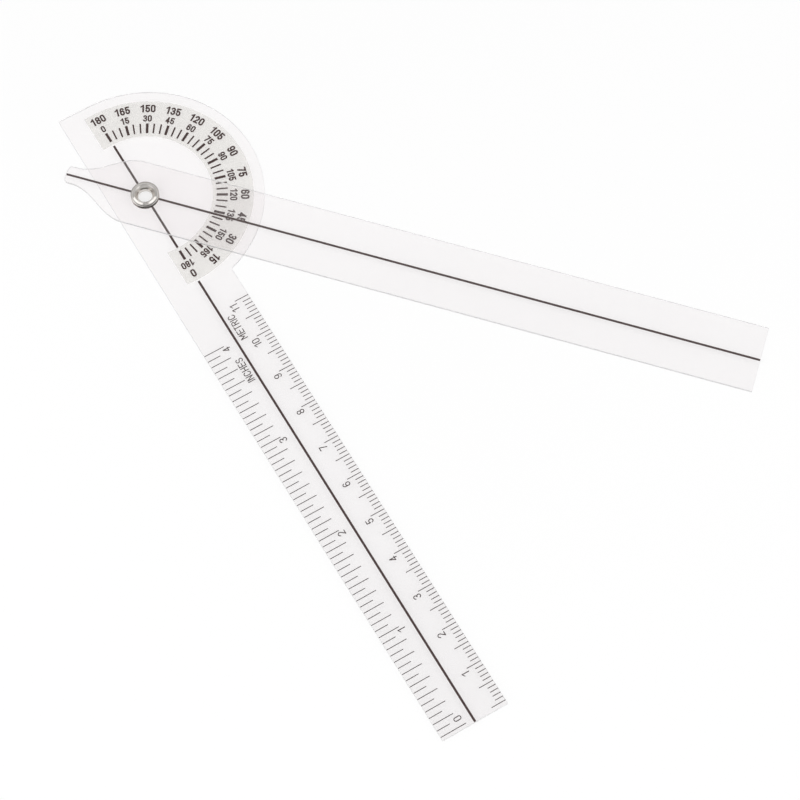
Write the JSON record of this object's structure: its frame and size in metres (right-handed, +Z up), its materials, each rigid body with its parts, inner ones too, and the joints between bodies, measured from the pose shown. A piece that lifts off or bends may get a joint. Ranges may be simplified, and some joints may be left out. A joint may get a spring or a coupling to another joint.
{
  "type": "goniometer",
  "caption": "Flat clear plastic goniometer: a half-circle protractor on a ruled arm, with a second arm that turns on a metal eyelet.",
  "frame": {"origin": "on the pivot axis, at the upper face of the protractor arm", "axes": "+X along the protractor arm to its far end, +Y towards the protractor's curved edge, +Z up out of the printed face"},
  "size_m": [0.172, 0.1175, 0.0022],
  "materials": {
    "clear_sheet": "clear polished sheet, faintly hazed by handling",
    "grey_band": "translucent light grey print",
    "dark_ink": "dark screen-printed ink",
    "scale_ink": "fine dark screen-printed ink",
    "nickel": "nickel-plated, smooth"
  },
  "bodies": {
    "protractor": {"base_arm": "clear_sheet", "protractor_band": "grey_band", "degree_major_marks": "dark_ink", "degree_minor_marks": "dark_ink", "outer_angle_numbers": "dark_ink", "inner_angle_numbers": "dark_ink", "base_centre_line": "dark_ink", "centimetre_marks": "scale_ink", "centimetre_numbers": "scale_ink", "inch_marks": "scale_ink", "inch_numbers": "scale_ink", "unit_words": "scale_ink", "eyelet": "nickel", "washer": "nickel"},
    "arm": {"moving_arm": "clear_sheet", "moving_arm_line": "dark_ink"}
  },
  "joints": [
    {"name": "arm_pivot", "type": "hinge", "parent": "protractor", "child": "arm", "pos_m": [0, 0, 0], "axis": [0, 0, 1], "continuous": true}
  ]
}
